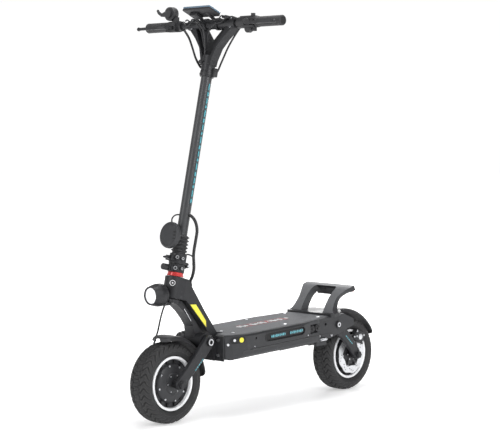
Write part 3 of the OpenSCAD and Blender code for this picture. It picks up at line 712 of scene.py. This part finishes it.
def make_side_lamps():
    """Lamp panels in the sides of the deck: dark floor, raised rim and lit cells."""
    cells = []
    for side, word in ((1, "left"), (-1, "right")):
        mirror = Matrix.Scale(side, 4, (0, 1, 0))
        place = mirror @ DECK @ at(LAMP_X, DECK_HALF, LAMP_Z) @ ALONG_Y
        plate("lamp_rim_" + word, [stadium(LAMP_HALF, 0.0158), stadium(LAMP_HALF, 0.0134)], 0.0012,
                      place, black_plastic, "chassis", bevel=0.0004)
        plate("lamp_floor_" + word, [stadium(LAMP_HALF, 0.0136)], 0.0004,
                      mirror @ DECK @ at(LAMP_X, DECK_HALF - 0.005, LAMP_Z) @ ALONG_Y, pit_black, "chassis",
                      bevel=0.0001)
        for x0, length, count in ((-0.003, 0.072, 9), (-0.089, 0.066, 8)):
            pitch = length / count
            for i in range(count):
                wide = pitch * (0.72 if i % 3 else 0.45)
                tall = 0.0075 if i % 2 else 0.005
                cell = DECK @ at(x0 + pitch * (i + 0.5), side * (DECK_HALF - 0.0029), LAMP_Z)
                cells.append(box_data((wide, 0.0008, tall), cell, 0.0002, 1))
    group("side_lamp_cells", cells, teal_glow, "chassis", smooth=False)


def make_port():
    """Near-black plate round the charge port and the power button, painted shade of their recess, with their
    rims.
    """
    place = DECK @ at(0.2163, 0.1076, -0.0175) @ turn(-18.1, "Z") @ ALONG_Y
    # Painted shade: a flat near-black plate stands for the shade in the recess
    plate("port_recess_shade", [stadium(0.017, 0.011), circle(-0.0129, 0.0005, 0.0087),
                                  circle(0.0129, -0.0005, 0.0052)], 0.0008, place, pit_black, "chassis",
                  bevel=0.0002)
    rim = [lathe_data(band(a, b, 0.0006, 0.0014), place @ at(x, y, 0), 40)
           for a, b, x, y in ((0.0083, 0.0096, -0.0129, 0.0005), (0.0049, 0.006, 0.0129, -0.0005))]
    group("port_rims", rim, black_plastic, "chassis")


def make_pocket_drums():
    """Two round caps in the rear pocket of each side."""
    drums = []
    for side in (1, -1):
        for x in (-0.142, -0.17):
            m = DECK @ at(x, side * 0.0975, -0.029) @ turn(-90 * side, "X")
            drums.append(lathe_data([(CORE, 0), (0.0125, 0), (0.0125, 0.01), (0.011, 0.0125),
                                     (0.008, 0.0135), (0.007, 0.012), (0.005, 0.012), (0.004, 0.016),
                                     (CORE, 0.0165)], m, 40, False))
    group("pocket_drums", drums, black_plastic, "chassis")


def make_kickstand_details():
    """Screws and spring of the kickstand's mount."""
    rows = [(at(x, y, z) @ ALONG_Y, rad, 0.003) for x, y, z, rad in (
        (-0.203, 0.088, 0.217, 0.0038), (-0.237, 0.088, 0.2055, 0.0042), (-0.266, 0.088, 0.214, 0.0036))]
    rows += [(DECK @ at(x, 0.118, -0.045) @ ALONG_Y, 0.0022, 0.0012) for x in (0.15, -0.11)]
    screws("kickstand_screws", rows, steel, "chassis")
    quarter = pi / 2
    coil = [(-0.202 - 0.0011 * k / 2, 0.094 + 0.004 * cos(k * quarter), 0.205 + 0.004 * sin(k * quarter))
            for k in range(60)]
    tube("kickstand_spring", coil, 0.001, steel, "chassis", sides=6, steps=3)


def make_tub_lines():
    """Near-black strip along the lower edge of the tub on each side: painted shade of a groove."""
    groove_shade_strips = [((0.4, 0.0006, 0.0018), DECK @ at(-0.03, side * 0.118, -0.052)) for side in (1, -1)]
    blocks("tub_lines", groove_shade_strips, pit_black, "chassis", bevel=0.0002)


# ---- footrest ----

def make_footrest():
    """One arched casting: two legs that lean back and flare, a thin top bar and a dark web behind."""
    front = curved([(-0.264, 0, 0.2898), (-0.269, 0, 0.3), (-0.284, 0, 0.322), (-0.3, 0, 0.342),
                    (-0.318, 0, 0.358), (-0.34, 0, 0.371), (-0.364, 0, 0.379)], 8)
    back = curved([(-0.289, 0, 0.2907), (-0.295, 0, 0.304), (-0.307, 0, 0.324), (-0.323, 0, 0.34),
                   (-0.343, 0, 0.352), (-0.358, 0, 0.3575), (-0.373, 0, 0.363)], 8)
    count = len(front) - 1
    # Shares of the way up at which the legs are narrowest and at which the window ends
    waist = 0.42
    top = 0.86

    def outer_half(t):
        foot = max(0.0, (waist - t) / waist)
        flare = min(1.0, max(0.0, (t - waist) / waist))
        return 0.084 + 0.019 * foot ** 2 + 0.023 * flare ** 1.6

    def inner_half(t, layer):
        corner = max(0.0, 1 - (top - t) / 0.14)
        return (0.05, 0.038)[layer] - 0.012 * (1 - sqrt(max(0.0, 1 - min(1.0, corner) ** 2)))

    verts, faces, kinds = [], [], []
    grid = {}
    for i in range(count + 1):
        t = i / count
        for layer, line in enumerate((front, back)):
            for c, y in enumerate((-outer_half(t), -inner_half(t, layer),
                                   inner_half(t, layer), outer_half(t))):
                grid[layer, i, c] = len(verts)
                verts.append((line[i].x, y, line[i].z))

    def solid(i, c):
        return 0 <= i < count and 0 <= c < 3 and (c != 1 or (i + 0.5) / count > top)

    for i in range(count):
        for c in range(3):
            if not solid(i, c):
                continue
            for layer in (0, 1):
                faces.append((grid[layer, i, c], grid[layer, i, c + 1], grid[layer, i + 1, c + 1],
                              grid[layer, i + 1, c]))
                kinds.append(layer)
            for near, a, b in ((solid(i, c - 1), (i, c), (i + 1, c)),
                               (solid(i, c + 1), (i, c + 1), (i + 1, c + 1)),
                               (solid(i - 1, c), (i, c), (i, c + 1)),
                               (solid(i + 1, c), (i + 1, c), (i + 1, c + 1))):
                if not near:
                    faces.append((grid[0, *a], grid[0, *b], grid[1, *b], grid[1, *a]))
                    kinds.append(1)
    used = sorted({v for face in faces for v in face})
    renumber = {v: k for k, v in enumerate(used)}
    mesh = bpy.data.meshes.new("footrest_casting")
    mesh.from_pydata([verts[v] for v in used], [], [tuple(renumber[v] for v in face) for face in faces])
    mesh.polygons.foreach_set("material_index", kinds)
    obj = place_mesh("footrest_casting", mesh, None, "chassis", sharp=30)
    obj.data.materials.append(footrest_grey)
    obj.data.materials.append(footrest_dark)
    bevel = obj.modifiers.new("edges", "BEVEL")
    bevel.width = 0.0016
    bevel.segments = 3
    bevel.limit_method = "ANGLE"
    bevel.angle_limit = radians(40)
    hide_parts("footrest")
    web = [((0.009, 0.102, 0.027), at(-0.3565, 0, 0.3555)), ((0.004, 0.06, 0.004), at(-0.351, 0, 0.3475))]
    blocks("footrest_web", web, footrest_dark, "chassis", bevel=0.002)
    # A near-black disc on the web: painted shade of a hole
    hole = lathe_data([(CORE, 0), (0.0042, 0), (0.0042, 0.0006), (CORE, 0.0006)],
                      at(-0.352, -0.012, 0.361) @ ALONG_X, 24, False)
    group("footrest_hole", [hole], pit_black, "chassis")


# ---- swing arms ----

def strap(spine, ends=10):
    """Outline of an arm of changing half width along a smooth spine of (x, z, half width)."""
    line = curved(spine, 8)
    left, right = [], []
    for i, p in enumerate(line):
        d = (line[min(i + 1, len(line) - 1)] - line[max(i - 1, 0)]).to_2d().normalized()
        left.append((p.x - d.y * p.z, p.y + d.x * p.z))
        right.append((p.x + d.y * p.z, p.y - d.x * p.z))

    def cap(p, start):
        return [(p.x + p.z * cos(start - pi * k / ends), p.y + p.z * sin(start - pi * k / ends))
                for k in range(1, ends)]

    d = (line[-1] - line[-2]).to_2d()
    e = (line[1] - line[0]).to_2d()
    return (left + cap(line[-1], atan2(d.y, d.x) + pi / 2) + right[::-1]
            + cap(line[0], atan2(e.y, e.x) - pi / 2))


def make_arms():
    spines = {"front": [(PIVOT.x, PIVOT.z, 0.0215), (0.362, 0.1895, 0.019),
                        (front_axle.x, front_axle.z, 0.0165)],
              "rear": [(-PIVOT.x, PIVOT.z, 0.0215), (-0.374, 0.196, 0.019),
                       (rear_axle.x, rear_axle.z, 0.0165)]}
    lamps = {"front": (0.3508, 0.1815), "rear": (-0.384, 0.185)}
    for end, spine in spines.items():
        for side, y in ((1, 0.069), (-1, -0.053)):
            plate(end + ("_arm_left" if side > 0 else "_arm_right"), [strap(spine)], 0.016,
                                at(0, y, 0) @ turn(90, "X"), black_metal, end + "_arm", bevel=0.0035)
        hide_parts(end + "_arms")
        x, z = lamps[end]
        tilt = turn(43 if end == "front" else -42, "Y")
        bars, cells, rings, hubs = [], [], [], []
        for side in (1, -1):
            m = at(x, side * 0.0691, z) @ tilt
            bars.append(box_data((0.05, 0.0006, 0.0052), m, 0.0002, 1))
            for k in range(5):
                size = (0.0052 if k % 2 else 0.0072, 0.001, 0.0026)
                cells.append(box_data(size, m @ at(-0.02 + 0.01 * k, 0, 0), 0.0002, 1))
            face = (0.074, 0.092)[end == "rear"]
            pivot = at((1 if end == "front" else -1) * PIVOT.x, side * face, PIVOT.z) @ turn(-90 * side, "X")
            ring = (0.007, 0.0104) if end == "front" else (0.0046, 0.008)
            rings.append(lathe_data(band(*ring, 0, 0.0009), pivot, 48))
            hub = at(spine[-1][0], side * 0.069, spine[-1][1]) @ turn(-90 * side, "X")
            hubs.append(lathe_data([(0.008, 0), (0.015, 0), (0.015, 0.0012), (0.0125, 0.0022),
                                    (0.008, 0.0022)], hub, 48))
        group(end + "_arm_lamps", bars, teal_dark, end + "_arm", smooth=False)
        group(end + "_arm_lamp_cells", cells, teal_glow, end + "_arm", smooth=False)
        group(end + "_pivot_rings", rings, steel, "fork" if end == "front" else "chassis")
        group(end + "_axle_washers", hubs, black_metal, end + "_arm")


# ---- steering head, stem and light ----

def make_headlight():
    m = at(0.436, 0, 0.405) @ ALONG_X
    profile = [(CORE, 0.0), (0.021, 0.0), (0.0245, 0.0008), (0.0305, 0.0058), (0.0345, 0.0115),
               (0.0357, 0.0165), (0.035, 0.0172), (0.035, 0.0186), (0.0359, 0.0193), (0.036, 0.029),
               (0.0354, 0.034), (0.0347, 0.0345), (0.0345, 0.036), (0.0349, 0.0366), (0.0312, 0.052),
               (0.0292, 0.059), (0.0282, 0.0598), (0.0262, 0.0598), (0.0254, 0.0588),
               (0.0252, 0.0545), (CORE, 0.054)]
    shell = lathe("headlight_shell", profile, m, black_metal, "fork", 72, sharp=28)
    blocks("headlight_mount", [((0.036, 0.024, 0.014), at(0.432, 0, 0.377))],
           black_metal, "fork", bevel=0.003)
    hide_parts("headlight_body")
    lens = [(CORE, 0.059), (0.008, 0.0588), (0.016, 0.058), (0.0165, 0.0573), (0.0172, 0.0578),
            (0.0218, 0.0566), (0.0245, 0.0556), (0.0251, 0.0546), (CORE, 0.0541)]
    glass = lathe("headlight_glass", lens, m, lens_white, "fork", 64)
    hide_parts("headlight_lens")


def make_bellows():
    profile = [(0.0176, 0.541), (0.0225, 0.541)]
    for i in range(5):
        s = 0.5465 + 0.011 * i
        profile += [(0.0208, s), (0.0216, s + 0.0012), (0.0258, s + 0.0038), (0.0266, s + 0.005),
                    (0.0258, s + 0.0062), (0.0216, s + 0.0088)]
    profile += [(0.0208, 0.6005), (0.0176, 0.601)]
    obj = lathe("stem_bellows", profile, STEER, rubber, "stem", 72, closed=True, sharp=50)
    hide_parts("bellows")


def make_horn():
    m = STEER @ at(0, 0, 0.593) @ ALONG_X
    profile = [(CORE, 0.034), (0.025, 0.034), (0.0275, 0.035), (0.04, 0.042), (0.042, 0.045),
               (0.042, 0.0515), (0.0408, 0.0545), (0.0385, 0.0558), (0.034, 0.0566), (0.0335, 0.056),
               (0.0325, 0.056), (0.032, 0.0568), (0.015, 0.0578), (CORE, 0.058)]
    shell = lathe("horn_shell", profile, m, charcoal, "stem", 72, sharp=28)
    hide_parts("horn")
    # Near-black blocks on the horn's face: painted shade of its slots
    slots = [((0.003, 0.0105, 0.0048), STEER @ at(0.0564, 0.0255, 0.593 + k * 0.0105)) for k in (-1, 0, 1)]
    blocks("horn_slots", slots, pit_black, "stem", bevel=0.0012)
    blocks("horn_bracket", [((0.02, 0.016, 0.018), STEER @ at(0.0265, 0, 0.621))], black_metal,
                   "stem", bevel=0.002)


def make_head_details():
    """Badge, painted highlights along the fork, clamp bosses and the neck's screw."""
    # Plain badge on the left of the head tube: a ring and a dot
    m = STEER @ turn(38, "Z") @ at(0.0309, 0, 0.447) @ ALONG_X
    rings = [lathe_data([(a, 0), (a, 0.0009), (b, 0.0009), (b, 0)], m, 48)
             for a, b in ((0.0072, 0.009), (CORE, 0.0026))]
    group("head_badge", rings, white_gloss, "chassis", sharp=30)
    # Bright steel strip along the front corner of the fork limb, both sides: a painted highlight of that
    # corner
    rows = [((0.053, 0.0006, 0.0024), at(0.3537, s * 0.0212, 0.3346) @ turn(-54.5, "Y")) for s in (1, -1)]
    blocks("fork_corner_highlights", rows, steel, "fork", bevel=0.0002)
    # Round bosses of the two clamps with their rims: turn about the stem, distance out, height and radius
    clamps = (("upper_clamp", "stem", ((42, 0.024, 0.529, 0.0085), (75, 0.0255, 0.527, 0.007))),
              ("lower_clamp", "fork", ((40, 0.0235, 0.4945, 0.0095), (80, 0.025, 0.495, 0.006))))
    for name, body, rows in clamps:
        bosses, rims = [], []
        for degrees, out, s_at, r in rows:
            b = STEER @ turn(degrees, "Z") @ at(out, 0, s_at) @ ALONG_X
            bosses.append(lathe_data([(CORE, 0), (r, 0), (r, 0.006), (r - 0.0012, 0.0072), (CORE, 0.0072)],
                                     b, 36, False))
            rims.append(lathe_data(band(r * 0.42, r * 0.62, 0.007, 0.008), b, 36))
        group(name + "_bosses", bosses, black_metal, body)
        group(name + "_rims", rims, steel, body)
    neck = [(at(0.246, 0.048, 0.236) @ ALONG_Y, 0.0034, 0.002)]
    screws("neck_screws", neck, steel, "chassis")


# Ends of the lit strip, along the steering axis
STRIP_START = 0.706
STRIP_END = 1.078


def make_stem_lamps():
    """Lit cells of changing length down both sides of the stem."""
    cells = []
    for side in (1, -1):
        s = STRIP_START
        k = 0
        while s < STRIP_END:
            length = (0.012, 0.02, 0.008, 0.016)[k % 4]
            cell = STEER @ at(0, side * (stem_radius + 0.0009), s + length / 2)
            cells.append(box_data((0.0042 if k % 2 else 0.0058, 0.0006, length), cell, 0.0002, 1))
            s += length + 0.0075
            k += 1
    group("stem_lamp_cells", cells, teal_glow, "stem", smooth=False)


# ---- cables ----

RIGHT_ROUTE = [(232, -114, 1240), (238, -104, 1234), (238, -86, 1212), (238, -72, 1183), (238, -56, 1147),
               (238, -38, 1122), (238, -27, 1115)]
LEFT_ROUTE = [(196, 113, 1248), (189, 100, 1243), (186, 84, 1232), (188, 64, 1208), (194, 46, 1178),
              (200, 34, 1150), (207, 26, 1126), (214, 21, 1106), (221, 17, 1095)]
HORN_ROUTE = [(352, -16, 650), (364, -21, 649), (377, -21, 642), (387, -15, 633), (391, -8, 625)]
LOOM_ROUTE = [(343, 16, 652), (335, 27, 641), (332, 37, 624), (331, 41, 600), (331, 35, 570), (330, 27, 542),
              (328, 22, 520), (325, 20, 498), (324, 19, 478), (324, 13, 456), (325, 4, 438), (321, 2, 424)]
HOSE_ROUTE = [(412, -20, 372), (414, -30, 350), (414, -42, 318), (416, -50, 285), (422, -56, 258),
              (430, -57, 236), (434, -56, 224)]
LOOM_CLIP = [(374, 24, 523), (362, 30, 527), (346, 35, 520), (337, 33, 506), (336, 26, 494)]
# Point of the loom's route at which it is split into an upper and a lower piece
LOOM_SPLIT = 7
YOKE_CABLES = {
    "display_lead": ([(252, -36, 1276), (252, -30, 1264), (253, -17, 1250), (253, -6, 1230), (252, -2, 1208),
                      (248, -4, 1189), (246, -6, 1168), (244, -8, 1150)], 3.2),
    "left_switch_lead": ([(222, 114, 1266), (230, 98, 1272), (236, 78, 1268), (238, 58, 1256),
                          (241, 38, 1252), (246, 18, 1240), (246, 8, 1218), (242, 4, 1196)], 2.2),
    "right_switch_lead": ([(222, -118, 1268), (232, -100, 1270), (238, -78, 1262), (242, -56, 1262),
                           (246, -40, 1252), (248, -22, 1232), (248, -14, 1208), (244, -12, 1180)], 2.2),
    "throttle_lead": ([(226, -134, 1266), (234, -118, 1262), (240, -92, 1250), (244, -66, 1262),
                       (250, -48, 1270), (254, -26, 1262), (255, -12, 1244)], 1.8),
    "display_loop": ([(246, 18, 1274), (252, 30, 1268), (250, 44, 1262), (244, 52, 1266), (238, 60, 1276),
                      (228, 66, 1274)], 2.0),
}


def metres(route, shift=(0, 0, 0)):
    return [Vector([(a + b) / 1000 for a, b in zip(p, shift)]) for p in route]


def make_cables():
    lead = tube("right_cable", metres(RIGHT_ROUTE), 0.003, cable_skin, "stem")
    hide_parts("cable_loom")
    others = [lead, tube("right_cable_two", metres(RIGHT_ROUTE, (5, 4, -3)), 0.0023, cable_skin, "stem"),
              tube("left_cable", metres(LEFT_ROUTE), 0.003, cable_skin, "stem"),
              tube("left_cable_two", metres(LEFT_ROUTE, (-5, -3, 4)), 0.0023, cable_skin, "stem"),
              tube("horn_lead", metres(HORN_ROUTE), 0.0024, cable_skin, "stem")]
    loom = metres(LOOM_ROUTE)
    upper = tube("loom_upper", loom[:LOOM_SPLIT + 1], 0.0052, cable_skin, ribs=0.0004, steps=14)
    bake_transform(upper)
    lower = tube("loom_lower", loom[LOOM_SPLIT:], 0.0052, cable_skin, ribs=0.0004, steps=14)
    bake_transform(lower)
    hose_line = metres(HOSE_ROUTE)
    hose = tube("front_brake_hose", hose_line, 0.0028, cable_skin)
    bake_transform(hose)
    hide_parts("front_hose")
    others += [tube(name, metres(route), radius / 1000, cable_skin, "stem")
               for name, (route, radius) in YOKE_CABLES.items()]
    others.append(tube("loom_clip", metres(LOOM_CLIP), 0.0024, black_metal, "stem"))


# ---- handlebar ----

def make_grips():
    for side, name in ((1, "left"), (-1, "right")):
        m = at(bar.x, side * (bar_half - 0.106), bar.z) @ turn(-90 * side, "X")
        profile = [(0.0112, -0.002), (0.0175, -0.002), (0.0178, 0.0035), (0.0163, 0.0045)]
        for i in range(22):
            s = 0.0065 + 0.004 * i
            profile += [(0.0156, s), (0.0161, s + 0.0008), (0.0161, s + 0.0028), (0.0156, s + 0.0034)]
        profile += [(0.0163, 0.0965), (0.0163, 0.1035), (0.015, 0.1056), (0.012, 0.106), (0.0112, 0.104)]
        obj = lathe(name + "_grip", profile, m, rubber, "stem", 56, closed=True, sharp=60)
        if side > 0:
            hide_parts("grips")
        cap = [(CORE, 0.1), (0.0112, 0.1), (0.0112, 0.105), (0.0095, 0.1056),
               (0.005, 0.1048), (CORE, 0.1046)]
        lathe(name + "_end_cap", cap, m, pit_black, "stem", 40)


def make_display():
    m = at(bar.x + 0.052, 0, bar.z + 0.038) @ turn(-23, "Y")
    shell = group("display_shell", [box_data((0.054, 0.12, 0.009), m @ at(0, 0, -0.0025), 0.003, 3)],
                  black_plastic, "stem")
    arms = [((0.052, 0.01, 0.009), at(bar.x + 0.032, s * 0.026, bar.z + 0.021) @ turn(-34, "Y"))
            for s in (1, -1)]
    arms.append(((0.03, 0.034, 0.012), m @ at(-0.002, -0.02, -0.0125)))
    blocks("display_arms", arms, black_metal, "stem", bevel=0.002)
    section = [(0.0161, -0.006), (0.0195, -0.006), (0.02, -0.005), (0.02, 0.005), (0.0195, 0.006),
               (0.0161, 0.006)]
    rings = [lathe_data(section, at(bar.x, s * 0.026, bar.z) @ ALONG_Y, 48) for s in (1, -1)]
    group("display_clamps", rings, black_metal, "stem")
    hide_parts("display_housing")
    glass = group("display_screen", [box_data((0.0538, 0.1196, 0.0058), m @ at(0, 0, 0.0046), 0.0022, 3)],
                  screen_glass, "stem")
    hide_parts("display_glass")


def make_bar_details():
    # Collar where the loom gathers under the yoke, its ties and the small junction box
    collar = lathe_data([(0.0176, 1.112), (0.0225, 1.112), (0.0232, 1.115), (0.0232, 1.128), (0.0225, 1.131),
                         (0.0176, 1.131)], STEER, 56)
    group("yoke_collar", [collar], black_metal, "stem")
    ties = [lathe_data(band(0.0236, 0.0246, s, s + 0.004), STEER, 56) for s in (1.118, 1.15)]
    group("cable_ties", ties, black_plastic, "stem")
    rows = [((0.012, 0.017, 0.028), STEER @ at(-0.004, 0.03, 1.126))]
    blocks("junction_box", rows, black_plastic, "stem", bevel=0.0025)
    # Two clamp screws on each arm of the yoke
    rows = [(STEER @ at(0.0166, y, s) @ ALONG_X, 0.0038, 0.003)
            for y in (-0.086, 0.086) for s in (1.27, 1.296)]
    screws("yoke_screws", rows, steel, "stem")
    # The left switch's dial and the knob under it, the display's plug, the yoke's knob
    # and the throttle's domed face
    turned = [
        ("left_dial", rubber, 40, at(bar.x + 0.0235, 0.171, bar.z + 0.002) @ ALONG_X,
         [(CORE, 0), (0.009, 0), (0.0095, 0.001), (0.0095, 0.006), (0.008, 0.0072), (CORE, 0.0072)]),
        ("left_knob", black_plastic, 40, at(bar.x + 0.003, 0.168, bar.z - 0.0205) @ ALONG_X,
         [(CORE, 0), (0.0115, 0), (0.013, 0.0015), (0.013, 0.015), (0.011, 0.0175), (CORE, 0.018)]),
        ("display_plug", black_plastic, 32, at(0.226, 0.053, 1.274) @ turn(-96, "X"),
         [(CORE, 0), (0.0042, 0), (0.005, 0.001), (0.005, 0.011), (0.0058, 0.012), (0.0058, 0.019),
          (0.0046, 0.02), (0.0046, 0.028), (CORE, 0.0285)]),
        ("yoke_knob", black_plastic, 32, STEER @ at(0.0195, -0.01, 1.156) @ ALONG_X,
         [(CORE, 0), (0.004, 0), (0.004, 0.006), (0.006, 0.007), (0.006, 0.012), (0.0048, 0.0132),
          (CORE, 0.0136)]),
        ("throttle_cup", black_plastic, 56, at(bar.x + 0.0005, -0.178, bar.z + 0.041) @ ALONG_X,
         [(CORE, 0), (0.019, 0), (0.0218, 0.001), (0.0226, 0.003), (0.0226, 0.019), (0.0212, 0.0218),
          (CORE, 0.0224)]),
    ]
    for name, material, segments, place, profile in turned:
        lathe(name, profile, place, material, "stem", segments)


make_camera()
make_floor()
make_lights()
finish_cad_nodes()
make_wheels()
make_fenders()
make_deck_stripes()
make_side_lamps()
make_port()
make_pocket_drums()
make_kickstand_details()
make_tub_lines()
make_footrest()
make_arms()
make_headlight()
make_bellows()
make_horn()
make_head_details()
make_stem_lamps()
make_cables()
make_grips()
make_display()
make_bar_details()
